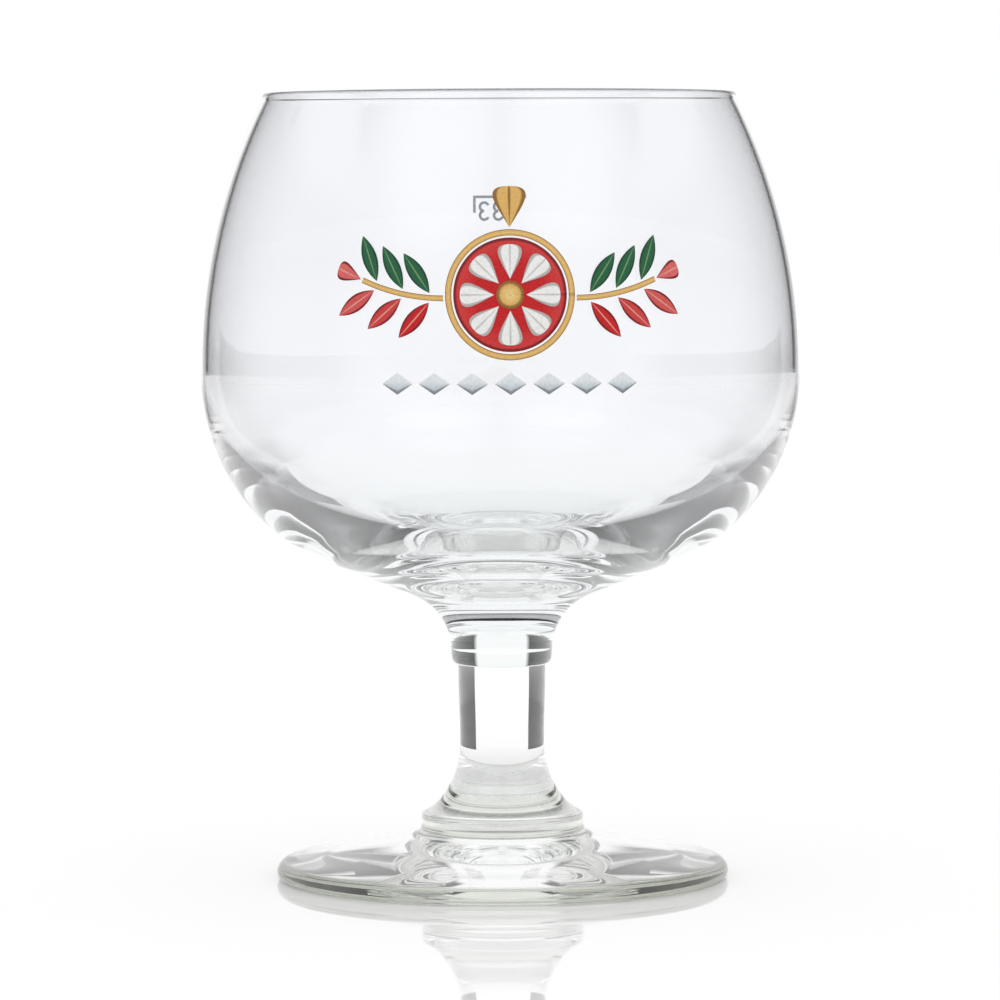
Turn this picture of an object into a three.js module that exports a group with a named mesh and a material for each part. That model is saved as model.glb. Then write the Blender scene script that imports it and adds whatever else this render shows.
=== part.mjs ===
// A stemmed balloon beer glass: a blown bowl, a solid stem and a pressed foot, fused end to end,
// with an enamel ornament fired on the front of the bowl and a fill mark on its back.
// Millimetres, +Z up. The glass stands on z = 0 and its ornament faces -Y.
import * as THREE from "three";
import { TessellateModifier } from "three/addons/modifiers/TessellateModifier.js";

// Foot: a disc with a rounded edge, a shallow hollow beneath and a stepped boss with a neck on top.
const FOOT_RADIUS = 36.2;
const FOOT_TOP_ANGLE = THREE.MathUtils.degToRad(11.6);
const EDGE_LOWER_ROUND = 1.15;
const EDGE_UPPER_ROUND = 1.75;
const STANDING_RING_WIDTH = 6.3;
const HOLLOW_DEPTH = 1.55;
const BOSS_FILLET_WIDTH = 2.8;
const BOSS_FILLET_HEIGHT = 1.85;
const BOSS_SIDE_HEIGHT = 1.35;
const BOSS_CORNER_ROUND = 0.6;
const NECK_HEIGHT = 4.1;
const NECK_SPREAD = 3.8;
const NECK_BEND = 0.36;

// Stem: a solid column, narrowest a little way above the foot.
const STEM_LENGTH = 19.6;
const STEM_WAIST_RADIUS = 6.75;
const STEM_TOP_SPREAD = 0.25;
const STEM_FLARE = 1.8;
const STEM_FLARE_HEIGHT = 6.8;

// Bowl, outside, from the stem upwards: a stub, a fillet, a cone, a round side and an incurved wall.
const WELD_STEP = 0.4;
const STUB_SPREAD = 0.7;
const STUB_LENGTH = 2.15;
const NECK_FILLET = 9.7;
const CONE_ANGLE = THREE.MathUtils.degToRad(22);
const BELLY_RADIUS = 47.8;
const SIDE_CURVE_WIDTH = 28.3;
const SIDE_CURVE_HEIGHT = 32.1;
const WALL_HEIGHT = 43.55;
const RIM_INSET = 10.2;

// Bowl, inside: a thin wall that runs down into a round cavity over a thick bottom.
const RIM_WALL = 1.15;
const BELLY_WALL = 1.1;
const BOTTOM_THICKNESS = 16.1;
const CAVITY_FULLNESS = 0.62;

// Enamel: fired films that lie on the outside of the bowl, one above another where they cross.
const ENAMEL_FILM = 0.12;
const ENAMEL_GAP = 0.1;

// Ornament on the front: a rosette under a finial, between two leafy sprays and over a row of lozenges.
const ORNAMENT_HEIGHT_OVER_BELLY = 11.7;
const ORNAMENT_SHIFT = 1.55;
const ROSETTE_UP = 1;
const ROSETTE_RADIUS = 8.6;
const ROSETTE_RING_WIDTH = 0.95;
const PETAL_COUNT = 8;
const PETAL_MARGIN = 1;
const PETAL_SLIMNESS = 0.72;
const PETAL_WIDEST = 0.8;
const PETAL_FLANK_REACH = 0.55;
const PETAL_FLANK_WIDTH = 0.42;
const PETAL_TIP_WIDTH = 0.88;
const HEART_RADIUS = 2.1;
const FINIAL_LENGTH = 6.2;
const FINIAL_WIDTH = 5;
const SPRAY_UP = 0.5;
const SPRAY_RISE = 2.7;
const STALK_WIDTH = 0.85;
const LEAF_PAIRS = 3;
const LEAF_PITCH = 4.3;
const LEAF_LENGTH = 7.2;
const LEAF_LEAN = THREE.MathUtils.degToRad(52);
const LEAF_SLIMNESS = 0.72;
const BUD_LENGTH = 4.25;
const BUD_WIDTH = 2.9;
const LOZENGE_COUNT = 7;
const LOZENGE_WIDTH = 4.85;
const LOZENGE_HEIGHT = 3.3;
const LOZENGE_SPACING = 0.95;
const LOZENGE_DROP = 1.9;
const COLOUR_GAP = 0.3;

// Fill mark on the back: a line with a tick at one end and a plain number under it.
const FILL_LINE_OVER_BELLY = 27.55;
const FILL_LINE_WIDTH = 9.1;
const FILL_STROKE = 0.45;
const FILL_TICK = 2.9;
const DIGIT_RADIUS = 0.73;
const DIGIT_GAP = 0.5;
const DIGIT_OPENING = THREE.MathUtils.degToRad(160);

// Colours of the enamel.
const RED = 0xc8101a;
const GOLD = 0xe2b566;
const GREEN = 0x14603a;
const WHITE = 0xf6f6f3;
const GREY = 0xc9d1d8;

// Fineness of the facets.
const ROUND_STEPS = 48;
const CURVE_STEPS = 8;
const WALL_STEPS = 6;
const STEM_STEPS = 4;
const SMALL_CURVE_STEPS = 3;
const DISC_STEPS = 10;
const FILM_FACET = 5;
const FILM_SPLITS = 8;

// Radii where the pieces meet, worked out from the stem's waist.
const stemFootRadius = STEM_WAIST_RADIUS + STEM_FLARE;
const neckRadius = stemFootRadius + NECK_SPREAD;
const bossRadius = neckRadius + BOSS_CORNER_ROUND;
const bossBaseRadius = bossRadius + BOSS_FILLET_WIDTH;
const stemTopRadius = STEM_WAIST_RADIUS + STEM_TOP_SPREAD;
const stubEndRadius = stemTopRadius + WELD_STEP;
const stubRadius = stubEndRadius + STUB_SPREAD;

// Heights over the surface that the glass stands on.
const topFaceTurn = Math.PI / 2 - FOOT_TOP_ANGLE;
const topFaceRadius = FOOT_RADIUS - EDGE_UPPER_ROUND * (1 - Math.cos(topFaceTurn));
const topFaceHeight = EDGE_LOWER_ROUND + EDGE_UPPER_ROUND * Math.sin(topFaceTurn);
const bossBaseHeight = topFaceHeight + (topFaceRadius - bossBaseRadius) * Math.tan(FOOT_TOP_ANGLE);
const bossSideHeight = bossBaseHeight + BOSS_FILLET_HEIGHT;
const bossCornerHeight = bossSideHeight + BOSS_SIDE_HEIGHT;
const neckFootHeight = bossCornerHeight + BOSS_CORNER_ROUND;
const footHeight = neckFootHeight + NECK_HEIGHT;
const bowlHeight = footHeight + STEM_LENGTH;

// Heights of the bowl's outside over its lower end, worked out from the stub upwards.
const filletTurn = Math.PI / 2 - CONE_ANGLE;
const coneFootRadius = stubRadius + NECK_FILLET * (1 - Math.cos(filletTurn));
const coneFootHeight = STUB_LENGTH + NECK_FILLET * Math.sin(filletTurn);
const sideTurn = Math.atan2(SIDE_CURVE_HEIGHT, SIDE_CURVE_WIDTH * Math.tan(CONE_ANGLE));
const sideCentreRadius = BELLY_RADIUS - SIDE_CURVE_WIDTH;
const coneTopRadius = sideCentreRadius + SIDE_CURVE_WIDTH * Math.cos(sideTurn);
const coneTopHeight = coneFootHeight + (coneTopRadius - coneFootRadius) * Math.tan(CONE_ANGLE);
const bellyHeight = coneTopHeight + SIDE_CURVE_HEIGHT * Math.sin(sideTurn);
const wallTopHeight = bellyHeight + WALL_HEIGHT;

// An upright arc that leaves the belly straight up and ends a given way in and up from there.
function incurvedArc(inwards, upwards) {
  const radius = (inwards ** 2 + upwards ** 2) / (2 * inwards);
  return { radius, turn: Math.asin(upwards / radius) };
}

const outerWall = incurvedArc(RIM_INSET, WALL_HEIGHT);

// The outside radius of the bowl's side at a height over the bowl's lower end.
function bowlRadius(height) {
  const rise = height - bellyHeight;
  if (rise >= 0) {
    return BELLY_RADIUS - outerWall.radius + Math.sqrt(outerWall.radius ** 2 - rise ** 2);
  }
  return sideCentreRadius + SIDE_CURVE_WIDTH * Math.sqrt(1 - (rise / SIDE_CURVE_HEIGHT) ** 2);
}

// Points along a curve's parts, without the repeats where one part meets the next.
function outlinePoints(...parts) {
  const apart = 0.001;
  const points = [];
  for (const part of parts) {
    for (const next of part) {
      if (!points.length || points.at(-1).distanceTo(next) > apart) {
        points.push(next);
      }
    }
  }
  return points;
}

function point(radius, height) {
  return new THREE.Vector2(radius, height);
}

// Points on an arc of an ellipse, or of a circle where its two reaches are alike.
function arcPoints(centre, reachOut, reachUp, from, to, steps) {
  const arc = new THREE.EllipseCurve(centre.x, centre.y, reachOut, reachUp, from, to, to < from);
  return arc.getPoints(steps);
}

function turnedSolid(points) {
  return new THREE.LatheGeometry(points, ROUND_STEPS).rotateX(Math.PI / 2);
}

function glass() {
  return new THREE.MeshStandardMaterial({
    color: 0xeef2f4,
    roughness: 0.03,
    metalness: 0,
    transparent: true,
    opacity: 0.35,
  });
}

function enamel(colour) {
  return new THREE.MeshStandardMaterial({ color: colour, roughness: 0.3, metalness: 0 });
}

const group = new THREE.Group();

function addPiece(name, geometry, material, height = 0) {
  const mesh = new THREE.Mesh(geometry, material);
  mesh.name = name;
  mesh.position.z = height;
  group.add(mesh);
}

// The foot's outline runs from the middle of the hollow, round the edge and up the boss to the weld.
function footOutline() {
  const quarter = Math.PI / 2;
  const standingRadius = FOOT_RADIUS - EDGE_LOWER_ROUND;
  const hollowRadius = standingRadius - STANDING_RING_WIDTH;
  const hollowSphere = (hollowRadius ** 2 + HOLLOW_DEPTH ** 2) / (2 * HOLLOW_DEPTH);
  const hollowTurn = Math.asin(hollowRadius / hollowSphere);
  const hollowCentre = point(0, HOLLOW_DEPTH - hollowSphere);
  const lowerEdge = point(standingRadius, EDGE_LOWER_ROUND);
  const upperEdge = point(FOOT_RADIUS - EDGE_UPPER_ROUND, EDGE_LOWER_ROUND);
  const fillet = point(bossBaseRadius, bossSideHeight);
  const corner = point(neckRadius, bossCornerHeight);
  const neck = new THREE.QuadraticBezierCurve(
    point(neckRadius, neckFootHeight),
    point(stemFootRadius + NECK_SPREAD * NECK_BEND, neckFootHeight + NECK_HEIGHT * NECK_BEND),
    point(stemFootRadius, footHeight),
  );
  return outlinePoints(
    arcPoints(hollowCentre, hollowSphere, hollowSphere, quarter, quarter - hollowTurn, SMALL_CURVE_STEPS),
    arcPoints(lowerEdge, EDGE_LOWER_ROUND, EDGE_LOWER_ROUND, -quarter, 0, SMALL_CURVE_STEPS),
    arcPoints(upperEdge, EDGE_UPPER_ROUND, EDGE_UPPER_ROUND, 0, topFaceTurn, SMALL_CURVE_STEPS),
    arcPoints(fillet, BOSS_FILLET_WIDTH, BOSS_FILLET_HEIGHT, -quarter, -2 * quarter, SMALL_CURVE_STEPS),
    arcPoints(corner, BOSS_CORNER_ROUND, BOSS_CORNER_ROUND, 0, quarter, SMALL_CURVE_STEPS),
    neck.getPoints(SMALL_CURVE_STEPS),
    [point(0, footHeight)],
  );
}

addPiece("foot", turnedSolid(footOutline()), glass());

// The stem's outline runs from the middle of its lower end to the middle of its upper end.
function stemOutline() {
  const { radius, turn } = incurvedArc(STEM_FLARE, STEM_FLARE_HEIGHT);
  const flareCentre = point(STEM_WAIST_RADIUS + radius, STEM_FLARE_HEIGHT);
  return outlinePoints(
    [point(0, 0)],
    arcPoints(flareCentre, radius, radius, Math.PI + turn, Math.PI, STEM_STEPS),
    [point(stemTopRadius, STEM_LENGTH), point(0, STEM_LENGTH)],
  );
}

addPiece("stem", turnedSolid(stemOutline()), glass(), footHeight);

// The bowl's outline runs from the middle of its lower end up the outside, over the lip,
// down the inside and to the middle of the cavity's floor.
function bowlOutline() {
  const quarter = Math.PI / 2;
  const half = 2 * quarter;
  const stubEnd = point(stubEndRadius, STUB_LENGTH);
  const fillet = point(stubRadius + NECK_FILLET, STUB_LENGTH);
  const side = point(sideCentreRadius, bellyHeight);
  const wall = point(BELLY_RADIUS - outerWall.radius, bellyHeight);
  const lipRound = RIM_WALL / 2;
  const intoWall = point(Math.cos(outerWall.turn), Math.sin(outerWall.turn)).multiplyScalar(-lipRound);
  const lip = point(BELLY_RADIUS - RIM_INSET, wallTopHeight).add(intoWall);
  const innerRim = lip.clone().add(intoWall);
  const cavityRadius = BELLY_RADIUS - BELLY_WALL;
  const innerWall = incurvedArc(cavityRadius - innerRim.x, innerRim.y - bellyHeight);
  const innerWallCentre = point(cavityRadius - innerWall.radius, bellyHeight);
  const cavityDepth = bellyHeight - BOTTOM_THICKNESS;
  const cavity = new THREE.CubicBezierCurve(
    point(cavityRadius, bellyHeight),
    point(cavityRadius, bellyHeight - cavityDepth * CAVITY_FULLNESS),
    point(cavityRadius * CAVITY_FULLNESS, BOTTOM_THICKNESS),
    point(0, BOTTOM_THICKNESS),
  );
  return outlinePoints(
    [point(0, 0)],
    arcPoints(stubEnd, STUB_SPREAD, STUB_LENGTH, -quarter, 0, SMALL_CURVE_STEPS),
    arcPoints(fillet, NECK_FILLET, NECK_FILLET, half, half - filletTurn, STEM_STEPS),
    arcPoints(side, SIDE_CURVE_WIDTH, SIDE_CURVE_HEIGHT, -sideTurn, 0, CURVE_STEPS),
    arcPoints(wall, outerWall.radius, outerWall.radius, 0, outerWall.turn, WALL_STEPS),
    arcPoints(lip, lipRound, lipRound, outerWall.turn, outerWall.turn + half, SMALL_CURVE_STEPS),
    arcPoints(innerWallCentre, innerWall.radius, innerWall.radius, innerWall.turn, 0, WALL_STEPS),
    cavity.getPoints(CURVE_STEPS),
  );
}

addPiece("bowl", turnedSolid(bowlOutline()), glass(), bowlHeight);

// Lays a flat film on the bowl: across is measured round the wall from a middle line, up along its height.
function addEnamel(name, shape, colour, place) {
  const { turn = 0, across = 0, up = 0, layer = 0, steps = SMALL_CURVE_STEPS, facing, height } = place;
  const flat = new THREE.ExtrudeGeometry(shape, {
    depth: ENAMEL_FILM,
    bevelEnabled: false,
    curveSegments: steps,
  });
  flat.rotateZ(turn);
  flat.translate(across, up, 0);
  const film = new TessellateModifier(FILM_FACET, FILM_SPLITS).modify(flat);
  const lift = ENAMEL_GAP + layer * (ENAMEL_FILM + ENAMEL_GAP);
  const positions = film.getAttribute("position");
  for (let i = 0; i < positions.count; i += 1) {
    const wallHeight = height + positions.getY(i);
    const wallRadius = bowlRadius(wallHeight);
    const angle = facing + positions.getX(i) / wallRadius;
    const radius = wallRadius + lift + positions.getZ(i);
    positions.setXYZ(i, radius * Math.sin(angle), -radius * Math.cos(angle), wallHeight);
  }
  film.computeVertexNormals();
  addPiece(name, film, enamel(colour), bowlHeight);
}

function discShape(radius) {
  return new THREE.Shape().absarc(0, 0, radius, 0, 2 * Math.PI);
}

function ringShape(innerRadius, width) {
  const ring = discShape(innerRadius + width);
  ring.holes.push(new THREE.Path().absarc(0, 0, innerRadius, 0, 2 * Math.PI, true));
  return ring;
}

// A pointed leaf that starts at its stalk and lies along +X.
function leafShape(length, width) {
  return new THREE.Shape()
    .moveTo(0, 0)
    .quadraticCurveTo(length / 2, -width, length, 0)
    .quadraticCurveTo(length / 2, width, 0, 0);
}

// A petal that starts at its narrow base and is widest near its rounded outer end.
function petalShape(length, width) {
  const flank = length * PETAL_FLANK_REACH;
  const flankWidth = width * PETAL_FLANK_WIDTH;
  const tipWidth = width * PETAL_TIP_WIDTH;
  return new THREE.Shape()
    .moveTo(0, 0)
    .bezierCurveTo(flank, -flankWidth, length, -tipWidth, length, 0)
    .bezierCurveTo(length, tipWidth, flank, flankWidth, 0, 0);
}

function lozengeShape(width, height) {
  return new THREE.Shape()
    .moveTo(-width / 2, 0)
    .lineTo(0, -height / 2)
    .lineTo(width / 2, 0)
    .lineTo(0, height / 2);
}

const front = {
  facing: ORNAMENT_SHIFT / BELLY_RADIUS,
  height: bellyHeight + ORNAMENT_HEIGHT_OVER_BELLY,
};

// Rosette: a red ground in a gold ring, with white petals round a gold heart printed over it.
// A finial stands on its top.
const ringRadius = ROSETTE_RADIUS + COLOUR_GAP;
const rosetteReach = ringRadius + ROSETTE_RING_WIDTH;
const petalStart = HEART_RADIUS + COLOUR_GAP;
const petalLength = ROSETTE_RADIUS - PETAL_MARGIN - petalStart;
const petalSpace = 2 * (petalStart + petalLength * PETAL_WIDEST) * Math.sin(Math.PI / PETAL_COUNT);
const rosette = { ...front, up: ROSETTE_UP, steps: DISC_STEPS };
addEnamel("rosette_ground", discShape(ROSETTE_RADIUS), RED, rosette);
addEnamel("rosette_ring", ringShape(ringRadius, ROSETTE_RING_WIDTH), GOLD, rosette);
addEnamel("rosette_heart", discShape(HEART_RADIUS), GOLD, { ...rosette, layer: 1 });
for (let i = 0; i < PETAL_COUNT; i += 1) {
  const turn = (i * 2 * Math.PI) / PETAL_COUNT;
  addEnamel(`rosette_petal_${i + 1}`, petalShape(petalLength, petalSpace * PETAL_SLIMNESS), WHITE, {
    ...front,
    turn,
    across: petalStart * Math.cos(turn),
    up: ROSETTE_UP + petalStart * Math.sin(turn),
    layer: 1,
  });
}
addEnamel("rosette_finial", petalShape(FINIAL_LENGTH, FINIAL_WIDTH), GOLD, {
  ...front,
  turn: Math.PI / 2,
  up: ROSETTE_UP + rosetteReach + COLOUR_GAP,
});

// The sprays' stalks leave the rosette level and then rise as a curve.
const sprayStart = rosetteReach + COLOUR_GAP;
const sprayLength = LEAF_PAIRS * LEAF_PITCH;
const leafWidth = LEAF_PITCH * Math.sin(LEAF_LEAN) * LEAF_SLIMNESS;
const leafBase = STALK_WIDTH / 2 + COLOUR_GAP;
const sprayCurve = new THREE.QuadraticBezierCurve(
  point(0, 0),
  point(sprayLength / 2, 0),
  point(sprayLength, SPRAY_RISE),
);

// The stalk's band, on the right side of the rosette for a side of 1 and mirrored for -1.
function stalkShape(side) {
  const half = STALK_WIDTH / 2;
  const upper = [];
  const lower = [];
  for (let i = 0; i <= CURVE_STEPS; i += 1) {
    const middle = sprayCurve.getPoint(i / CURVE_STEPS);
    const along = sprayCurve.getTangent(i / CURVE_STEPS);
    upper.push(point(side * (middle.x - along.y * half), middle.y + along.x * half));
    lower.push(point(side * (middle.x + along.y * half), middle.y - along.x * half));
  }
  return new THREE.Shape([...lower, ...upper.reverse()]);
}

for (const [sideName, side] of [["left", -1], ["right", 1]]) {
  // A film whose base lies at a point of the spray, with its length along a heading.
  const addToSpray = (name, shape, colour, base, heading) => {
    addEnamel(name, shape, colour, {
      ...front,
      turn: side > 0 ? heading : Math.PI - heading,
      across: side * (sprayStart + base.x),
      up: SPRAY_UP + base.y,
    });
  };
  addEnamel(`spray_stalk_${sideName}`, stalkShape(side), GOLD, {
    ...front,
    across: side * sprayStart,
    up: SPRAY_UP,
  });
  for (let i = 0; i < LEAF_PAIRS; i += 1) {
    const share = (i + 0.5) / LEAF_PAIRS;
    const along = sprayCurve.getTangent(share);
    for (const [edgeName, edge, colour] of [["upper", 1, GREEN], ["lower", -1, RED]]) {
      const square = point(-along.y, along.x).multiplyScalar(edge * leafBase);
      addToSpray(
        `spray_leaf_${sideName}_${edgeName}_${i + 1}`,
        leafShape(LEAF_LENGTH, leafWidth),
        colour,
        sprayCurve.getPoint(share).add(square),
        along.angle() + edge * LEAF_LEAN,
      );
    }
  }
  const tipAlong = sprayCurve.getTangent(1);
  const budBase = sprayCurve.getPoint(1).addScaledVector(tipAlong, COLOUR_GAP);
  addToSpray(`spray_bud_${sideName}`, petalShape(BUD_LENGTH, BUD_WIDTH), RED, budBase, tipAlong.angle());
}

// Lozenges stand in a row under the rosette.
for (let i = 0; i < LOZENGE_COUNT; i += 1) {
  addEnamel(`lozenge_${i + 1}`, lozengeShape(LOZENGE_WIDTH, LOZENGE_HEIGHT), GREY, {
    ...front,
    across: (i - (LOZENGE_COUNT - 1) / 2) * (LOZENGE_WIDTH + LOZENGE_SPACING),
    up: ROSETTE_UP - rosetteReach - LOZENGE_DROP - LOZENGE_HEIGHT / 2,
  });
}

// The fill mark's line has its upper edge at the measure.
const back = { facing: Math.PI, height: bellyHeight + FILL_LINE_OVER_BELLY };

function fillLineShape() {
  const half = FILL_LINE_WIDTH / 2;
  return new THREE.Shape()
    .moveTo(-half, -FILL_STROKE)
    .lineTo(half - FILL_STROKE, -FILL_STROKE)
    .lineTo(half - FILL_STROKE, -FILL_TICK)
    .lineTo(half, -FILL_TICK)
    .lineTo(half, 0)
    .lineTo(-half, 0);
}

// A plain figure 3: two open rings, one over the other, that share their middle stroke.
function threeShape() {
  const inner = DIGIT_RADIUS - FILL_STROKE / 2;
  const outer = DIGIT_RADIUS + FILL_STROKE / 2;
  const waist = Math.asin(DIGIT_RADIUS / outer);
  return new THREE.Shape()
    .absarc(0, -DIGIT_RADIUS, inner, -DIGIT_OPENING, Math.PI / 2, false)
    .absarc(0, DIGIT_RADIUS, inner, -Math.PI / 2, DIGIT_OPENING, false)
    .absarc(0, DIGIT_RADIUS, outer, DIGIT_OPENING, -waist, true)
    .absarc(0, -DIGIT_RADIUS, outer, waist, -DIGIT_OPENING, true);
}

addEnamel("fill_line", fillLineShape(), GREY, back);
const digitReach = DIGIT_RADIUS + FILL_STROKE / 2;
const digitPitch = 2 * digitReach + DIGIT_GAP;
const lastDigitAcross = FILL_LINE_WIDTH / 2 - FILL_STROKE - DIGIT_GAP - digitReach;
const digitUp = -FILL_STROKE - DIGIT_GAP - DIGIT_RADIUS - digitReach;
for (const [name, pitches] of [["fill_digit_first", 1], ["fill_digit_last", 0]]) {
  addEnamel(name, threeShape(), GREY, {
    ...back,
    across: lastDigitAcross - pitches * digitPitch,
    up: digitUp,
  });
}

export default group;
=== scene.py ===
# A stemmed balloon beer glass, standing on a white glossy table in soft studio light.
# Metres, +Z up. The glass stands on z = 0, its axis is the Z axis and its ornament faces -Y.
import math

import bmesh
import bpy
from mathutils import Matrix, Quaternion, Vector
from mathutils.geometry import interpolate_bezier


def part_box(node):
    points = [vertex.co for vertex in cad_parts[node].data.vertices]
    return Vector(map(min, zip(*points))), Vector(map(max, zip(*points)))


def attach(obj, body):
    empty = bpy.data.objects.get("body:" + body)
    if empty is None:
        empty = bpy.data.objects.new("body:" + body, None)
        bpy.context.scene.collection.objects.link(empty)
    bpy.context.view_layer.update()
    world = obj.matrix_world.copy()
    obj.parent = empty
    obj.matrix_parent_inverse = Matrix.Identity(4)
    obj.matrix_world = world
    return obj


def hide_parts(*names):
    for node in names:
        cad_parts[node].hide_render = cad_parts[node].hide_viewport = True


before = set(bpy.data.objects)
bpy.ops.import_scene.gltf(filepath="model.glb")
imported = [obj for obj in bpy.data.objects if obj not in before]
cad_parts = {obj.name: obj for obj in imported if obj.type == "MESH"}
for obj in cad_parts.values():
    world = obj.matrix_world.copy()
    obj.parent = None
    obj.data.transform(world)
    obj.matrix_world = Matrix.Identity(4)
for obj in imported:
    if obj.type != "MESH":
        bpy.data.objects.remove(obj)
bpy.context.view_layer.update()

# Foot: a pressed disc of clear soda-lime glass, gently domed on top. A shallow hollow beneath leaves
# a standing ring, and a stepped boss on top rises into a neck whose end is fused to the stem.
foot_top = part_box("foot")[1]
foot_radius = foot_top.x
foot_height = foot_top.z
foot_top_angle = math.radians(11.6)
edge_lower_round = 0.00115
edge_upper_round = 0.00175
standing_ring_width = 0.0063
hollow_depth = 0.00155
boss_fillet_width = 0.0028
boss_fillet_height = 0.00185
boss_side_height = 0.00135
boss_corner_round = 0.0006
neck_height = 0.0041
neck_spread = 0.0038
neck_bend = 0.36
neck_pull = 2 / 3
stem_foot_radius = 0.00855
foot_tint = (0.978, 0.988, 0.978)
# Painted shade: the foot's glass is darkened towards its edge, with a little of the glass's own green.
foot_edge_shade_and_green = (0.58, 0.6, 0.53)
edge_shade_start, edge_shade_end = 0.002, 0.0004
glass_ior = 1.52
tint_drift = 0.985
polish_roughness = 0.012
quarter = math.pi / 2
rounds = 192
fused_reach = 1e-6


def arc(centre_out, centre_up, reach_out, reach_up, start, end, steps):
    """Points on an arc of an ellipse, each as a way out from the axis and a height."""
    turns = [start + (end - start) * i / steps for i in range(steps + 1)]
    return [(centre_out + reach_out * math.cos(t), centre_up + reach_up * math.sin(t)) for t in turns]


def bend(start, start_pull, end_pull, end, steps):
    """Points on a curve between two points, pulled towards two others on its way."""
    flat = [Vector((*p, 0)) for p in (start, start_pull, end_pull, end)]
    return [(p.x, p.y) for p in interpolate_bezier(*flat, steps + 1)]


def turned(outline):
    """A closed solid: the outline spun once round the axis, with its poles and seam merged."""
    bm = bmesh.new()
    corners = [bm.verts.new((out, 0, up)) for out, up in outline]
    sides = [bm.edges.new(pair) for pair in zip(corners, corners[1:])]
    bmesh.ops.spin(
        bm, geom=corners + sides, cent=(0, 0, 0), axis=(0, 0, 1), angle=2 * math.pi,
        steps=rounds, use_merge=True,
    )
    bmesh.ops.remove_doubles(bm, verts=bm.verts, dist=fused_reach)
    bmesh.ops.recalc_face_normals(bm, faces=bm.faces)
    return bm


def shade_smooth(bm, sharpest=math.radians(35)):
    """Smooth shading, with the edges kept crisp where two faces meet at more than the sharpest angle."""
    for face in bm.faces:
        face.smooth = True
    for edge in bm.edges:
        edge.smooth = edge.calc_face_angle(0) < sharpest


def mark_fused(bm, height, radius):
    """Gives the second material to the flat end that is fused to the next piece."""
    for face in bm.faces:
        middle = face.calc_center_median()
        if abs(middle.z - height) < fused_reach and middle.xy.length < radius:
            face.material_index = 1


def add_piece(name, bm, materials, slot, *nodes):
    """Makes the mesh a piece of the glass that stands for its CAD nodes."""
    mesh = bpy.data.meshes.new(name)
    bm.to_mesh(mesh)
    bm.free()
    for material in materials:
        mesh.materials.append(material)
    piece = bpy.data.objects.new(name, mesh)
    bpy.context.scene.collection.objects.link(piece)
    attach(piece, "root")
    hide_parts(*nodes)
    return piece


def new_material(name):
    material = bpy.data.materials.new(name)
    material.use_nodes = True
    return material, material.node_tree.nodes, material.node_tree.links


def clear_glass(name, tint, ripple_scale, ripple):
    """Clear glass with a faint tint that varies, fire-polished roughness and a slight ripple."""
    material, nodes, links = new_material(name)
    shader = nodes["Principled BSDF"]
    shader.inputs["Transmission Weight"].default_value = 1
    shader.inputs["IOR"].default_value = glass_ior
    place = nodes.new("ShaderNodeTexCoord")
    cloud = nodes.new("ShaderNodeTexNoise")
    cloud.inputs["Scale"].default_value = ripple_scale
    cloud.inputs["Detail"].default_value = 1
    links.new(place.outputs["Object"], cloud.inputs["Vector"])
    shade = nodes.new("ShaderNodeValToRGB")
    shade.color_ramp.elements[0].color = (*[c * tint_drift for c in tint], 1)
    shade.color_ramp.elements[1].color = (*tint, 1)
    links.new(cloud.outputs["Fac"], shade.inputs["Fac"])
    links.new(shade.outputs["Color"], shader.inputs["Base Color"])
    polish = nodes.new("ShaderNodeMapRange")
    polish.inputs["To Max"].default_value = polish_roughness
    links.new(cloud.outputs["Fac"], polish.inputs["Value"])
    links.new(polish.outputs["Result"], shader.inputs["Roughness"])
    bump = nodes.new("ShaderNodeBump")
    bump.inputs["Distance"].default_value = ripple
    links.new(cloud.outputs["Fac"], bump.inputs["Height"])
    links.new(bump.outputs["Normal"], shader.inputs["Normal"])
    return material


def socket(sockets, identifier):
    """One of a Mix node's sockets, several of which share a name."""
    return next(each for each in sockets if each.identifier == identifier)


def shade_and_tint_glass(material, measure, start, end, tint):
    """Blends clear glass towards another colour from the start of a measure to its end: painted shade towards an
    edge, and a deeper tint towards a thick place.
    """
    nodes, links = material.node_tree.nodes, material.node_tree.links
    tone = nodes["Principled BSDF"].inputs["Base Color"]
    share = nodes.new("ShaderNodeMapRange")
    share.inputs["From Min"].default_value = start
    share.inputs["From Max"].default_value = end
    links.new(measure, share.inputs["Value"])
    blend = nodes.new("ShaderNodeMix")
    blend.data_type = "RGBA"
    links.new(share.outputs["Result"], blend.inputs["Factor"])
    links.new(tone.links[0].from_socket, socket(blend.inputs, "A_Color"))
    socket(blend.inputs, "B_Color").default_value = (*tint, 1)
    links.new(socket(blend.outputs, "Result_Color"), tone)


def towards(start, end, share):
    return tuple(a + (b - a) * share for a, b in zip(start, end))


# The end of a piece that is fused to the next one: light passes as inside one body of glass.
fused, nodes, links = new_material("fused_end")
nodes["Principled BSDF"].inputs["Alpha"].default_value = 0
standing_radius = foot_radius - edge_lower_round
hollow_radius = standing_radius - standing_ring_width
hollow_sphere = (hollow_radius**2 + hollow_depth**2) / (2 * hollow_depth)
hollow_turn = math.asin(hollow_radius / hollow_sphere)
top_face_turn = quarter - foot_top_angle
neck_foot_height = foot_height - neck_height
boss_corner_height = neck_foot_height - boss_corner_round
boss_side_foot = boss_corner_height - boss_side_height
neck_radius = stem_foot_radius + neck_spread
boss_base_radius = neck_radius + boss_corner_round + boss_fillet_width
neck_waist = (stem_foot_radius + neck_spread * neck_bend, neck_foot_height + neck_height * neck_bend)
neck_low = (neck_radius, neck_foot_height)
neck_high = (stem_foot_radius, foot_height)
neck_pulls = (towards(end, neck_waist, neck_pull) for end in (neck_low, neck_high))
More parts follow.
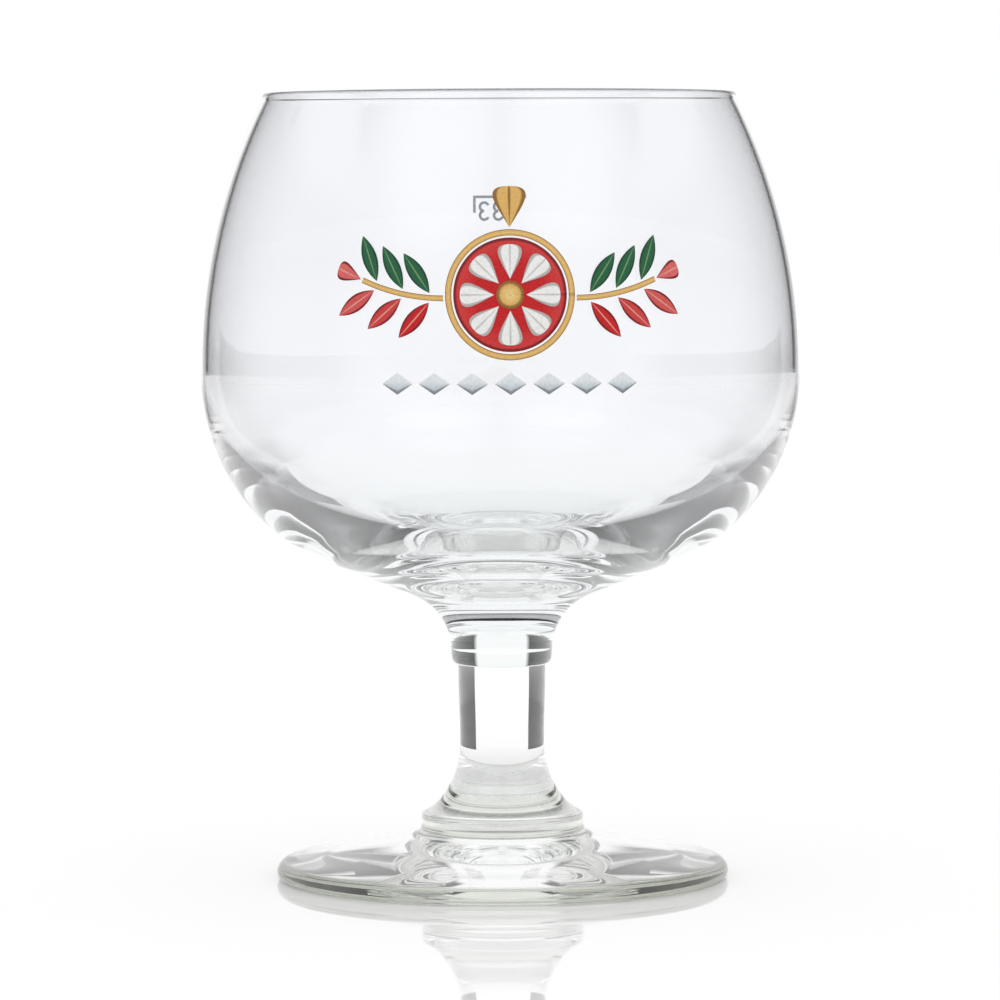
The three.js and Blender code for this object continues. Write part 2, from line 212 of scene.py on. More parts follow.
foot_outline = [
    *arc(0, hollow_depth - hollow_sphere, hollow_sphere, hollow_sphere, quarter, quarter - hollow_turn, steps=12),
    *arc(standing_radius, edge_lower_round, edge_lower_round, edge_lower_round, -quarter, 0, steps=8),
    *arc(foot_radius - edge_upper_round, edge_lower_round, edge_upper_round, edge_upper_round,
         0, top_face_turn, steps=10),
    *arc(boss_base_radius, boss_side_foot, boss_fillet_width, boss_fillet_height, -quarter, -2 * quarter, steps=12),
    *arc(neck_radius, boss_corner_height, boss_corner_round, boss_corner_round, 0, quarter, steps=6),
    *bend(neck_low, *neck_pulls, neck_high, steps=14),
    (0, foot_height),
]
foot = turned(foot_outline)
mark_fused(foot, foot_height, stem_foot_radius)
shade_smooth(foot)
pressed_glass = clear_glass("pressed_glass", foot_tint, ripple_scale=60, ripple=0.00002)
nodes, links = pressed_glass.node_tree.nodes, pressed_glass.node_tree.links
flat = nodes.new("ShaderNodeMapping")
flat.inputs["Scale"].default_value = (1, 1, 0)
links.new(nodes["Texture Coordinate"].outputs["Object"], flat.inputs["Vector"])
way_out = nodes.new("ShaderNodeVectorMath")
way_out.operation = "LENGTH"
links.new(flat.outputs["Vector"], way_out.inputs["Vector"])
# Painted shade on the foot's edge, with a little of the glass's green: the glass darkens over its outer 2 mm.
shade_and_tint_glass(pressed_glass, way_out.outputs["Value"], foot_radius - edge_shade_start, foot_radius - edge_shade_end,
          foot_edge_shade_and_green)
add_piece("glass_foot", foot, [pressed_glass, fused], "clear_glass", "foot")

# Stem: a solid column of the same glass, drawn down to a waist and flared to the foot.
# Both of its ends are fused, the lower one to the foot's neck and the upper one to the bowl's stub.
stem_top_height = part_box("stem")[1].z
stem_waist_radius = 0.00675
stem_top_radius = 0.007
stem_flare_height = 0.0068
stem_tint = (0.98, 0.985, 0.98)
stem_flare = stem_foot_radius - stem_waist_radius
flare_round = (stem_flare**2 + stem_flare_height**2) / (2 * stem_flare)
flare_turn = math.asin(stem_flare_height / flare_round)
waist_height = foot_height + stem_flare_height
column_half = (stem_top_height - waist_height) / 2
waist_end = (stem_waist_radius, waist_height)
column_end = (stem_top_radius, stem_top_height)
stem_outline = [
    (0, foot_height),
    *arc(stem_waist_radius + flare_round, waist_height, flare_round, flare_round,
         math.pi + flare_turn, math.pi, steps=16),
    *bend(waist_end, (stem_waist_radius, waist_height + column_half),
          (stem_top_radius, stem_top_height - column_half), column_end, steps=16),
    (0, stem_top_height),
]
stem = turned(stem_outline)
mark_fused(stem, foot_height, stem_foot_radius)
mark_fused(stem, stem_top_height, stem_top_radius)
shade_smooth(stem)
drawn_glass = clear_glass("drawn_glass", stem_tint, ripple_scale=40, ripple=0.000008)
add_piece("glass_stem", stem, [drawn_glass, fused], "clear_glass", "stem")

# Bowl: blown clear glass, thin at the incurved wall and thick at the bottom, which ends in a short stub.
# The lip is cut and fire-polished round, and the stub's end is fused to the stem.
belly_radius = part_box("bowl")[1].x
weld_step = 0.0004
stub_spread = 0.0007
stub_length = 0.00215
neck_fillet = 0.0097
cone_angle = math.radians(22)
side_curve_width = 0.0283
side_curve_height = 0.0321
wall_height = 0.04355
rim_inset = 0.0102
rim_wall = 0.00115
belly_wall = 0.0011
bottom_thickness = 0.0161
cavity_fullness = 0.62
bowl_tint = (0.962, 0.966, 0.982)
# Painted shade: the top of the lip is darkened almost to black, for the dark line the rim shows.
lip_painted_shade = (0.12, 0.13, 0.15)
lip_shade_reach = 0.7
bottom_tint = (0.945, 0.97, 0.968)
bottom_tint_height = 0.014
stub_end_radius = stem_top_radius + weld_step
stub_radius = stub_end_radius + stub_spread
fillet_turn = quarter - cone_angle
cone_foot_radius = stub_radius + neck_fillet * (1 - math.cos(fillet_turn))
cone_foot_height = stem_top_height + stub_length + neck_fillet * math.sin(fillet_turn)
side_turn = math.atan2(side_curve_height, side_curve_width * math.tan(cone_angle))
side_centre = belly_radius - side_curve_width
cone_top_radius = side_centre + side_curve_width * math.cos(side_turn)
cone_top_height = cone_foot_height + (cone_top_radius - cone_foot_radius) * math.tan(cone_angle)
belly_height = cone_top_height + side_curve_height * math.sin(side_turn)
wall_top_height = belly_height + wall_height


def incurved(inwards, upwards):
    """The round and the turn of an arc that leaves the belly upright and ends a way in and up from it."""
    wall_round = (inwards**2 + upwards**2) / (2 * inwards)
    return wall_round, math.asin(upwards / wall_round)


outer_round, outer_turn = incurved(rim_inset, wall_height)
lip_round = rim_wall / 2
lip_out = belly_radius - rim_inset - lip_round * math.cos(outer_turn)
lip_up = wall_top_height - lip_round * math.sin(outer_turn)
cavity_radius = belly_radius - belly_wall
inner_rim_out = lip_out - lip_round * math.cos(outer_turn)
inner_rim_up = lip_up - lip_round * math.sin(outer_turn)
inner_round, inner_turn = incurved(cavity_radius - inner_rim_out, inner_rim_up - belly_height)
floor_height = stem_top_height + bottom_thickness
cavity_depth = belly_height - floor_height
bowl_outline = [
    (0, stem_top_height),
    (stem_top_radius, stem_top_height),
    *arc(stub_end_radius, stem_top_height + stub_length, stub_spread, stub_length, -quarter, 0, steps=10),
    *arc(stub_radius + neck_fillet, stem_top_height + stub_length, neck_fillet, neck_fillet,
         math.pi, math.pi - fillet_turn, steps=24),
    *arc(side_centre, belly_height, side_curve_width, side_curve_height, -side_turn, 0, steps=48),
    *arc(belly_radius - outer_round, belly_height, outer_round, outer_round, 0, outer_turn, steps=48),
    *arc(lip_out, lip_up, lip_round, lip_round, outer_turn, outer_turn + math.pi, steps=12),
    *arc(cavity_radius - inner_round, belly_height, inner_round, inner_round, inner_turn, 0, steps=48),
    *bend((cavity_radius, belly_height), (cavity_radius, belly_height - cavity_depth * cavity_fullness),
          (cavity_radius * cavity_fullness, floor_height), (0, floor_height), steps=48),
]
bowl = turned(bowl_outline)
mark_fused(bowl, stem_top_height, stem_top_radius)
shade_smooth(bowl)
blown_glass = clear_glass("blown_glass", bowl_tint, ripple_scale=30, ripple=0.00001)
nodes, links = blown_glass.node_tree.nodes, blown_glass.node_tree.links
split = nodes.new("ShaderNodeSeparateXYZ")
links.new(nodes["Texture Coordinate"].outputs["Object"], split.inputs["Vector"])
# Painted shade on the lip: the glass darkens to near black over the top of the lip.
shade_and_tint_glass(blown_glass, split.outputs["Z"], lip_up, lip_up + lip_round * lip_shade_reach, lip_painted_shade)
shade_and_tint_glass(blown_glass, split.outputs["Z"], cone_top_height + bottom_tint_height, cone_top_height, bottom_tint)
add_piece("glass_bowl", bowl, [blown_glass, fused], "clear_glass", "bowl")

# Rosette: fired enamel on the front of the bowl, printed in layers: a red ground in a gold ring, then white
# petals round a gold heart, and a gold finial on top. Each film is a few hundredths of a millimetre thick.
ornament_shift = 0.00155
ornament_rise = 0.0117
ornament_height = belly_height + ornament_rise
front = ornament_shift / belly_radius
film_thickness = 0.00006
film_lift = 0.00003
layer_step = 0.0001
colour_gap = 0.0003
rosette_up = 0.001
rosette_radius = 0.0086
rosette_ring_width = 0.00095
petal_count = 8
petal_margin = 0.001
petal_slimness = 0.72
petal_widest = 0.8
petal_reach, petal_base, petal_bulge = 0.55, 0.42, 0.88
petal_grid = 24, 12
heart_radius = 0.0021
finial_length = 0.0062
finial_width = 0.005
enamel_gloss = 0.35
enamel_roughness, roughness_drift = 0.28, 0.06
grain_scale, grain_detail = 2500, 3
mottle_low, mottle_high = 0.82, 1.1
grain_relief = 0.000004


def wall_radius(height):
    """The outside radius of the bowl's side at a height."""
    rise = height - belly_height
    if rise >= 0:
        return belly_radius - outer_round + math.sqrt(outer_round**2 - rise**2)
    return side_centre + side_curve_width * math.sqrt(1 - (rise / side_curve_height) ** 2)


def film(shapes, along, across, facing, height, layer=0):
    """Thin films on the bowl. A shape gives a place, round the wall and up it, for a share along and across."""
    bm = bmesh.new()
    bm.loops.layers.uv.new("UVMap")
    for shape in shapes:
        before = set(bm.verts)
        bmesh.ops.create_grid(bm, x_segments=along, y_segments=across, size=0.5, calc_uvs=True)
        sheet = [face for face in bm.faces if face.verts[0] not in before]
        bmesh.ops.solidify(bm, geom=sheet, thickness=film_thickness)
        for vert in bm.verts:
            if vert not in before:
                turn, up = shape(vert.co.x + 0.5, 2 * vert.co.y)
                lift = film_lift + layer * layer_step + abs(vert.co.z)
                wall = wall_radius(height + up)
                angle = facing + turn / wall
                vert.co = ((wall + lift) * math.sin(angle), -(wall + lift) * math.cos(angle), height + up)
    bmesh.ops.remove_doubles(bm, verts=bm.verts, dist=fused_reach)
    bmesh.ops.recalc_face_normals(bm, faces=bm.faces)
    shade_smooth(bm)
    return bm


def placed(shape, turn, right, up):
    """The shape, turned about its start and moved."""

    def at(share, side):
        x, y = shape(share, side)
        return right + x * math.cos(turn) - y * math.sin(turn), up + x * math.sin(turn) + y * math.cos(turn)

    return at


def ring(inner, outer):
    """A round band, or a disc where the inner radius is 0."""

    def at(share, side):
        radius = inner + (outer - inner) * (side + 1) / 2
        return radius * math.cos(2 * math.pi * share), radius * math.sin(2 * math.pi * share)

    return at


def petal(length, width):
    """A petal with a narrow base and a rounded outer end."""

    def at(share, side):
        rest = 1 - share
        flank = 3 * rest**2 * share
        tip = 3 * rest * share**2
        long = petal_reach * flank + tip + share**3
        return length * long, side * width * (petal_base * flank + petal_bulge * tip)

    return at


def enamel(name, stops):
    """Gloss fired enamel: its colour runs across the film in stops, with a fine grain and a slight relief."""
    material, nodes, links = new_material(name)
    shader = nodes["Principled BSDF"]
    shader.inputs["Specular IOR Level"].default_value = enamel_gloss
    place = nodes.new("ShaderNodeTexCoord")
    split = nodes.new("ShaderNodeSeparateXYZ")
    links.new(place.outputs["UV"], split.inputs["Vector"])
    bands = nodes.new("ShaderNodeValToRGB")
    for i, (share, colour) in enumerate(stops):
        stop = bands.color_ramp.elements[i] if i < 2 else bands.color_ramp.elements.new(share)
        stop.position = share
        stop.color = (*colour, 1)
    links.new(split.outputs["Y"], bands.inputs["Fac"])
    grain = nodes.new("ShaderNodeTexNoise")
    grain.inputs["Scale"].default_value = grain_scale
    grain.inputs["Detail"].default_value = grain_detail
    links.new(place.outputs["Object"], grain.inputs["Vector"])
    mottle = nodes.new("ShaderNodeMapRange")
    mottle.inputs["To Min"].default_value = mottle_low
    mottle.inputs["To Max"].default_value = mottle_high
    links.new(grain.outputs["Fac"], mottle.inputs["Value"])
    blend = nodes.new("ShaderNodeMix")
    blend.data_type = "RGBA"
    blend.blend_type = "MULTIPLY"
    blend.inputs["Factor"].default_value = 1
    links.new(bands.outputs["Color"], socket(blend.inputs, "A_Color"))
    links.new(mottle.outputs["Result"], socket(blend.inputs, "B_Color"))
    links.new(socket(blend.outputs, "Result_Color"), shader.inputs["Base Color"])
    polish = nodes.new("ShaderNodeMapRange")
    polish.inputs["To Min"].default_value = enamel_roughness - roughness_drift
    polish.inputs["To Max"].default_value = enamel_roughness + roughness_drift
    links.new(grain.outputs["Fac"], polish.inputs["Value"])
    links.new(polish.outputs["Result"], shader.inputs["Roughness"])
    bump = nodes.new("ShaderNodeBump")
    bump.inputs["Distance"].default_value = grain_relief
    links.new(grain.outputs["Fac"], bump.inputs["Height"])
    links.new(bump.outputs["Normal"], shader.inputs["Normal"])
    return material


def ribbed(edge, body, rib):
    """Stops for a film with a line along both edges and a rib along its middle."""
    return [(0, edge), (0.1, edge), (0.16, body), (0.44, body), (0.48, rib),
            (0.52, rib), (0.56, body), (0.84, body), (0.9, edge), (1, edge)]


deep_red = (0.6, 0.005, 0.009)
light_red = (0.68, 0.04, 0.04)
dark_red = (0.2, 0.002, 0.004)
gold = (0.76, 0.46, 0.13)
pale_gold = (0.92, 0.68, 0.3)
brown = (0.3, 0.14, 0.03)
white = (0.92, 0.92, 0.9)
pale_grey = (0.62, 0.6, 0.58)
warm_grey = (0.5, 0.46, 0.44)
ring_radius = rosette_radius + colour_gap
rosette_reach = ring_radius + rosette_ring_width
red_ground = enamel("enamel_red_ground", [(0, deep_red), (0.6, deep_red), (0.93, light_red), (0.97, dark_red)])
gold_band = enamel("enamel_gold_band", ribbed(brown, gold, pale_gold))
gold_heart = enamel("enamel_gold_heart", [(0, pale_gold), (0.7, gold), (0.85, brown)])
white_petal = enamel("enamel_white_petal", ribbed(warm_grey, white, pale_grey))
gold_finial = enamel("enamel_gold_finial", ribbed(brown, gold, brown))
for name, shape, along, across, layer, material in (
    ("ground", ring(0, rosette_radius), 96, 12, 0, red_ground),
    ("ring", ring(ring_radius, rosette_reach), 96, 8, 0, gold_band),
    ("heart", ring(0, heart_radius), 48, 6, 1, gold_heart),
):
    bm = film([placed(shape, 0, 0, rosette_up)], along, across, front, ornament_height, layer)
    slot = "enamel_red" if name == "ground" else "enamel_gold"
    add_piece(f"film_rosette_{name}", bm, [material], slot, f"rosette_{name}")
petal_start = heart_radius + colour_gap
petal_length = rosette_radius - petal_margin - petal_start
petal_space = 2 * (petal_start + petal_length * petal_widest) * math.sin(math.pi / petal_count)
for i in range(petal_count):
    turn = 2 * math.pi * i / petal_count
    start = (petal_start * math.cos(turn), rosette_up + petal_start * math.sin(turn))
    shape = placed(petal(petal_length, petal_space * petal_slimness), turn, *start)
    bm = film([shape], *petal_grid, front, ornament_height, layer=1)
    add_piece(f"film_petal_{i + 1}", bm, [white_petal], "enamel_white", f"rosette_petal_{i + 1}")
shape = placed(petal(finial_length, finial_width), quarter, 0, rosette_up + rosette_reach + colour_gap)
bm = film([shape], *petal_grid, front, ornament_height)
add_piece("film_finial", bm, [gold_finial], "enamel_gold", "rosette_finial")

# Sprays: fired enamel on both sides of the rosette. A gold stalk carries green leaves over red ones and ends
# in a red bud, and the red pales towards the ends, as a printed tint does.
spray_up = 0.0005
spray_rise = 0.0027
stalk_width = 0.00085
leaf_pairs = 3
leaf_pitch = 0.0043
leaf_length = 0.0072
leaf_lean = math.radians(52)
leaf_slimness = 0.72
bud_length = 0.00425
bud_width = 0.0029
spray_start = rosette_reach + colour_gap
spray_length = leaf_pairs * leaf_pitch
leaf_width = leaf_pitch * math.sin(leaf_lean) * leaf_slimness
stalk_grid = 24, 6
salmon = (0.72, 0.13, 0.12)
pink = (0.8, 0.36, 0.3)
leaf_green = (0.007, 0.117, 0.042)
dark_green = (0.003, 0.05, 0.016)
pale_green = (0.2, 0.36, 0.16)


def leaf(length, width):
    """A pointed leaf."""
    return lambda share, side: (length * share, side * 2 * share * (1 - share) * width)


def spray_point(share, square):
    """A point on the stalk's curve, moved a way square to it, and the curve's heading there."""
    heading = math.atan2(2 * share * spray_rise, spray_length)
    x = spray_length * share - square * math.sin(heading)
    return x, spray_rise * share**2 + square * math.cos(heading), heading


green_leaf = enamel("enamel_green_leaf", ribbed(dark_green, leaf_green, pale_green))
red_leaves = [
    enamel(f"enamel_red_leaf_{i + 1}", ribbed(dark_red, towards(deep_red, salmon, i / leaf_pairs), pink))
    for i in range(leaf_pairs + 1)
]
for side, side_name in ((-1, "left"), (1, "right")):

    def on_spray(shape, share, square, lean, ahead=0):
        """The shape, set on this side's stalk at a share of its length, leaning from it."""
        x, y, heading = spray_point(share, square)
        heading += lean
        x += spray_start + ahead * math.cos(heading)
        y += spray_up + ahead * math.sin(heading)
        return placed(shape, heading if side > 0 else math.pi - heading, side * x, y)

    def stalk(share, across):
        x, y, heading = spray_point(share, across * stalk_width / 2)
        return side * (spray_start + x), spray_up + y

    bm = film([stalk], *stalk_grid, front, ornament_height)
    add_piece(f"film_stalk_{side_name}", bm, [gold_band], "enamel_gold", f"spray_stalk_{side_name}")
    for i in range(leaf_pairs):
        for edge_name, edge, material, slot in (
            ("upper", 1, green_leaf, "enamel_green"),
            ("lower", -1, red_leaves[i], "enamel_red"),
        ):
            square = edge * (stalk_width / 2 + colour_gap)
            shape = on_spray(leaf(leaf_length, leaf_width), (i + 0.5) / leaf_pairs, square, edge * leaf_lean)
            name = f"{side_name}_{edge_name}_{i + 1}"
            bm = film([shape], *petal_grid, front, ornament_height)
            add_piece(f"film_leaf_{name}", bm, [material], slot, f"spray_leaf_{name}")
    shape = on_spray(petal(bud_length, bud_width), 1, 0, 0, ahead=colour_gap)
    bm = film([shape], *petal_grid, front, ornament_height)
    add_piece(f"film_bud_{side_name}", bm, [red_leaves[leaf_pairs]], "enamel_red", f"spray_bud_{side_name}")

# Lozenges: a row of pale grey fired enamel, printed under the rosette in one layer.
# Each is shaded darker towards its lower edges.
lozenge_count = 7
lozenge_width = 0.00485
lozenge_height = 0.0033
lozenge_spacing = 0.00095
lozenge_drop = 0.0019
lozenge_grid = 16, 12
lozenge_shades = [
    (0, (0.2, 0.22, 0.24)),
    (0.14, (0.3, 0.33, 0.36)),
    (0.24, (0.58, 0.64, 0.69)),
    (0.6, (0.8, 0.84, 0.87)),
    (1, (0.86, 0.89, 0.91)),
]
lozenge_up = rosette_up - rosette_reach - lozenge_drop - lozenge_height / 2


def lozenge(share, side):
    return lozenge_width * (share - 0.5), side * lozenge_height / 2 * (1 - abs(2 * share - 1))


grey_lozenge = enamel("enamel_grey_lozenge", lozenge_shades)
for i in range(lozenge_count):
    right = (i - (lozenge_count - 1) / 2) * (lozenge_width + lozenge_spacing)
    bm = film([placed(lozenge, 0, right, lozenge_up)], *lozenge_grid, front, ornament_height)
    add_piece(f"film_lozenge_{i + 1}", bm, [grey_lozenge], "enamel_grey", f"lozenge_{i + 1}")

# Fill mark: grey fired enamel, printed on the back of the bowl at the height of its measure.
# It is a line with a tick at one end and a plain number under it.
fill_rise = 0.02755
fill_height = belly_height + fill_rise
fill_width = 0.0091
fill_stroke = 0.00045
fill_tick = 0.0029
digit_radius = 0.00073
digit_gap = 0.0005
digit_opening = math.radians(160)
stroke_grid = 24, 2
mark_shades = [(0, (0.5, 0.56, 0.62)), (1, (0.6, 0.66, 0.71))]
half_width = fill_width / 2
inner_end = half_width - fill_stroke


def fill_line(share, side):
    """The line along its upper edge, and then the tick down its outer edge."""
    edges = (
        ((-half_width, -fill_stroke), (inner_end, -fill_stroke), (inner_end, -fill_tick)),
        ((-half_width, 0), (half_width, 0), (half_width, -fill_tick)),
    )
    leg = 0 if share < 0.5 else 1
    inner, outer = (towards(edge[leg], edge[leg + 1], 2 * share - leg) for edge in edges)
    return towards(inner, outer, (side + 1) / 2)


def open_ring(centre_up, start, end):
    """Half of a figure 3."""

    def at(share, side):
        turn = start + (end - start) * share
        radius = digit_radius + side * fill_stroke / 2
        return radius * math.cos(turn), centre_up + radius * math.sin(turn)

    return at


grey_mark = enamel("enamel_grey_mark", mark_shades)
bm = film([fill_line], *stroke_grid, math.pi, fill_height)
add_piece("film_fill_line", bm, [grey_mark], "enamel_grey", "fill_line")
digit_reach = digit_radius + fill_stroke / 2
digit_up = -fill_stroke - digit_gap - digit_radius - digit_reach
for name, pitches in (("first", 1), ("last", 0)):
    right = inner_end - digit_gap - digit_reach - pitches * (2 * digit_reach + digit_gap)
    lower = open_ring(-digit_radius, -digit_opening, quarter)
    upper = open_ring(digit_radius, -quarter, digit_opening)
    halves = [placed(half, 0, right, digit_up) for half in (lower, upper)]
    bm = film(halves, *stroke_grid, math.pi, fill_height)
    add_piece(f"film_digit_{name}", bm, [grey_mark], "enamel_grey", f"fill_digit_{name}")

# Table: a white glossy sheet that mirrors the foot softly and keeps the glass's shadow, a hair below the standing
# ring. Under the clear foot it glows brighter, a painted pool of light that stands for the light coming down
# through the glass, and far off it meets the studio's white without an edge.
table_half = 40.0
table_drop = 0.00005
table_tone = (0.9, 0.9, 0.9)
table_roughness = 0.015
table_ior = 1.7
table_glow = 0.07
table_glow_under_foot = 0.26
under_foot_start, under_foot_end = 0.001, 0.01
table_fade_start, table_fade_end = 1.0, 8.0


def sees_stage(nodes, links):
    """1 for what the camera sees, straight, mirrored or through the glass, and 0 for the light on the glass."""
    path = nodes.new("ShaderNodeLightPath")
    first = nodes.new("ShaderNodeMath")
    first.operation = "MAXIMUM"
    links.new(path.outputs["Is Camera Ray"], first.inputs[0])
    links.new(path.outputs["Is Glossy Ray"], first.inputs[1])
    both = nodes.new("ShaderNodeMath")
    both.operation = "MAXIMUM"
    links.new(first.outputs["Value"], both.inputs[0])
    links.new(path.outputs["Is Transmission Ray"], both.inputs[1])
    return both.outputs["Value"]


def add_stage(name, bm, material):
    mesh = bpy.data.meshes.new(name)
    bm.to_mesh(mesh)
    bm.free()
    mesh.materials.append(material)
    stage = bpy.data.objects.new(name, mesh)
    bpy.context.scene.collection.objects.link(stage)
    return stage


table_white, nodes, links = new_material("table_white")
shader = nodes["Principled BSDF"]
shader.inputs["Base Color"].default_value = (*table_tone, 1)
shader.inputs["Roughness"].default_value = table_roughness
shader.inputs["IOR"].default_value = table_ior
shader.inputs["Emission Color"].default_value = (1, 1, 1, 1)
place = nodes.new("ShaderNodeTexCoord")
way_out = nodes.new("ShaderNodeVectorMath")
way_out.operation = "LENGTH"
links.new(place.outputs["Object"], way_out.inputs[0])
# Painted pool of light: the table's glow rises towards the middle under the foot.
painted_light_under_foot = nodes.new("ShaderNodeMapRange")
painted_light_under_foot.inputs["From Min"].default_value = foot_radius - under_foot_start
painted_light_under_foot.inputs["From Max"].default_value = foot_radius - under_foot_end
painted_light_under_foot.inputs["To Min"].default_value = table_glow
painted_light_under_foot.inputs["To Max"].default_value = table_glow_under_foot
links.new(way_out.outputs["Value"], painted_light_under_foot.inputs["Value"])
far_fade = nodes.new("ShaderNodeMapRange")
far_fade.inputs["From Min"].default_value = table_fade_start
far_fade.inputs["From Max"].default_value = table_fade_end
far_fade.inputs["To Min"].default_value = 1
far_fade.inputs["To Max"].default_value = 0
links.new(way_out.outputs["Value"], far_fade.inputs["Value"])
table_light = sees_stage(nodes, links)
for part in (painted_light_under_foot, far_fade):
    glow = nodes.new("ShaderNodeMath")
    glow.operation = "MULTIPLY"
    links.new(table_light, glow.inputs[0])
    links.new(part.outputs["Result"], glow.inputs[1])
    table_light = glow.outputs["Value"]
links.new(table_light, shader.inputs["Emission Strength"])
table = bmesh.new()
below_foot = Matrix.Translation((0, 0, -table_drop))
bmesh.ops.create_grid(table, x_segments=1, y_segments=1, size=table_half, matrix=below_foot)
add_stage("table", table, table_white)

# Sheets round the glass, all out of the picture: what the glass refracts and mirrors. On each side a wide dark
# wing far back draws the bowl's edges and shades its thick bottom, a low card near the foot draws the stem's
# edges, and a tall card shows only where the glass mirrors it. All of them fade out to white.
wing_radius = 1.5
wing_from, wing_to = math.radians(20), math.radians(130)
wing_top = 0.9
wing_tones = ((0, 1), (0.035, 0.07), (0.2, 0.16), (0.45, 0.27), (0.6, 0.22), (0.8, 0.25), (1, 1))
wing_fades = ((0, 0), (0.75, 0), (1, 1))
low_radius = 0.1
low_from, low_to = math.radians(26), math.radians(100)
low_top = 0.033
low_tones = ((0, 0.11), (0.8, 0.11), (1, 1))
low_fades = ((0, 0), (0.7, 0), (1, 1))
card_radius = 0.13
card_from, card_to = math.radians(36), math.radians(100)
card_bottom, card_top = 0.055, 0.2
card_tones = ((0, 1), (0.07, 0.07), (0.14, 0.11), (0.3, 0.22), (0.6, 0.28), (1, 1))
card_fades = ((0, 1), (0.14, 0), (0.82, 0), (1, 1))


def glowing(name, tones, fades):
    """A sheet that shines by itself. Its greys run along it in stops, and it fades to white across it."""
    material, nodes, links = new_material(name)
    nodes.remove(nodes["Principled BSDF"])
    glow = nodes.new("ShaderNodeEmission")
    place = nodes.new("ShaderNodeTexCoord")
    split = nodes.new("ShaderNodeSeparateXYZ")
    links.new(place.outputs["UV"], split.inputs["Vector"])
    blend = nodes.new("ShaderNodeMix")
    blend.data_type = "RGBA"
    for way, stops, target in (("X", tones, "A_Color"), ("Y", fades, "Factor_Float")):
        ramp = nodes.new("ShaderNodeValToRGB")
        for i, (share, grey) in enumerate(stops):
            stop = ramp.color_ramp.elements[i] if i < 2 else ramp.color_ramp.elements.new(share)
            stop.position = share
            stop.color = (grey, grey, grey, 1)
        links.new(split.outputs[way], ramp.inputs["Fac"])
        links.new(ramp.outputs["Color"], socket(blend.inputs, target))
    socket(blend.inputs, "B_Color").default_value = (1, 1, 1, 1)
    links.new(socket(blend.outputs, "Result_Color"), glow.inputs["Color"])
    links.new(glow.outputs["Emission"], nodes["Material Output"].inputs["Surface"])
    return material


def add_sheet(name, side, start, end, radius, bottom, top, material, mirrored=False):
    """An upright sheet round the axis, on one side between two turns from the back."""
    bm = bmesh.new()
    bm.loops.layers.uv.new("UVMap")
    bmesh.ops.create_grid(bm, x_segments=48, y_segments=4, size=0.5, calc_uvs=True)
    for vert in bm.verts:
        turn = side * (start + (end - start) * (vert.co.x + 0.5))
        height = bottom + (top - bottom) * (vert.co.y + 0.5)
        vert.co = radius * math.sin(turn), radius * math.cos(turn), height
    sheet = add_stage(name, bm, material)
    sheet.visible_camera = False
    sheet.visible_diffuse = False
    sheet.visible_shadow = False
    sheet.visible_glossy = mirrored
    sheet.visible_transmission = not mirrored


wing_dark = glowing("wing_dark", wing_tones, wing_fades)
low_dark = glowing("low_dark", low_tones, low_fades)
card_dark = glowing("card_dark", card_tones, card_fades)
for side, side_name in ((-1, "left"), (1, "right")):
    add_sheet(f"wing_{side_name}", side, wing_from, wing_to, wing_radius, 0, wing_top, wing_dark)
    add_sheet(f"low_card_{side_name}", side, low_from, low_to, low_radius, 0, low_top, low_dark)
    add_sheet(f"card_{side_name}", side, card_from, card_to, card_radius, card_bottom, card_top, card_dark,
              mirrored=True)

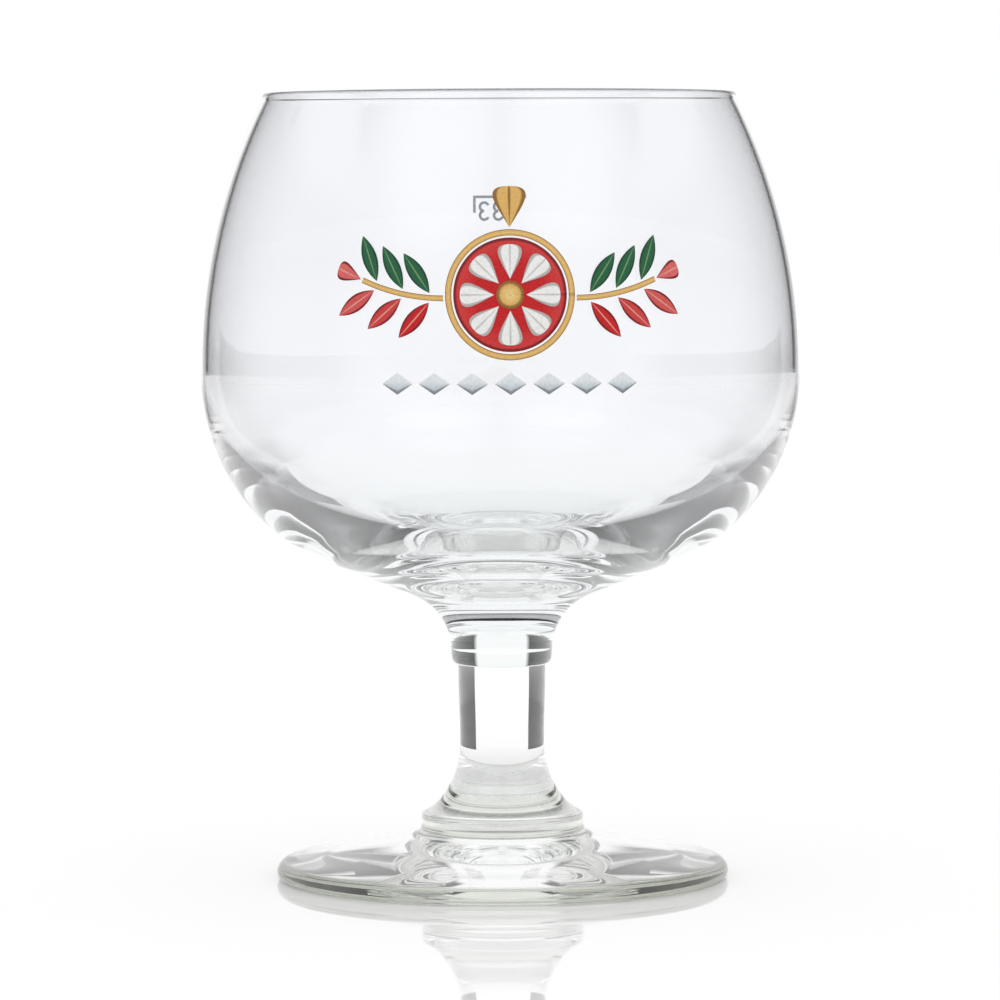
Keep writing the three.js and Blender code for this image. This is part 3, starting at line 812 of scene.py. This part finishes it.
# Light: a white studio, a little dimmer on the camera's side, with two soft bright patches over the camera's
# left and right.
front_tone = 0.8
front_end, front_start = -0.8, 0.0
bounces = 32
patch_tone = 0.6
patch_turn = math.radians(31)
patch_rise = math.radians(40)
patch_edge = math.cos(math.radians(26))
patch_core = math.cos(math.radians(6))
world = bpy.data.worlds.new("studio")
bpy.context.scene.world = world
world.use_nodes = True
nodes, links = world.node_tree.nodes, world.node_tree.links
place = nodes.new("ShaderNodeTexCoord")
split = nodes.new("ShaderNodeSeparateXYZ")
links.new(place.outputs["Generated"], split.inputs["Vector"])
tone = nodes.new("ShaderNodeMapRange")
tone.inputs["From Min"].default_value = front_end
tone.inputs["From Max"].default_value = front_start
tone.inputs["To Min"].default_value = front_tone
links.new(split.outputs["Y"], tone.inputs["Value"])
total = tone.outputs["Result"]
for side in (-1, 1):
    near = nodes.new("ShaderNodeVectorMath")
    near.operation = "DOT_PRODUCT"
    links.new(place.outputs["Generated"], near.inputs[0])
    near.inputs[1].default_value = (
        side * math.sin(patch_turn) * math.cos(patch_rise),
        -math.cos(patch_turn) * math.cos(patch_rise),
        math.sin(patch_rise),
    )
    patch = nodes.new("ShaderNodeMapRange")
    patch.interpolation_type = "SMOOTHSTEP"
    patch.inputs["From Min"].default_value = patch_edge
    patch.inputs["From Max"].default_value = patch_core
    patch.inputs["To Max"].default_value = patch_tone
    links.new(near.outputs["Value"], patch.inputs["Value"])
    both = nodes.new("ShaderNodeMath")
    links.new(total, both.inputs[0])
    links.new(patch.outputs["Result"], both.inputs[1])
    total = both.outputs["Value"]
links.new(total, nodes["Background"].inputs["Strength"])
nodes["Background"].inputs["Color"].default_value = (1, 1, 1, 1)
bpy.context.scene.view_settings.view_transform = "Standard"
bpy.context.scene.cycles.max_bounces = bounces
bpy.context.scene.cycles.glossy_bounces = bounces
bpy.context.scene.cycles.transmission_bounces = bounces
bpy.context.scene.cycles.transparent_max_bounces = bounces

# Camera: a long lens a little above the belly, which looks slightly down on the rim and the foot.
# The picture is as wide as the photograph's and leans as little as it does.
camera_distance = 0.824
camera_height = 0.1115
aim_height = 0.0605
frame_width = 0.16
frame_shift = -0.001
sensor_width = 36
roll = math.radians(-0.26)
camera_data = bpy.data.cameras.new("camera")
camera = bpy.data.objects.new("camera", camera_data)
bpy.context.scene.collection.objects.link(camera)
camera.location = (0, -camera_distance, camera_height)
aim = Vector((0, 0, aim_height)) - camera.location
camera_data.sensor_width = sensor_width
camera_data.shift_x = frame_shift
camera_data.lens = sensor_width * aim.length / frame_width
camera.rotation_mode = "QUATERNION"
camera.rotation_quaternion = aim.to_track_quat("-Z", "Y") @ Quaternion((0, 0, 1), roll)
bpy.context.scene.camera = camera
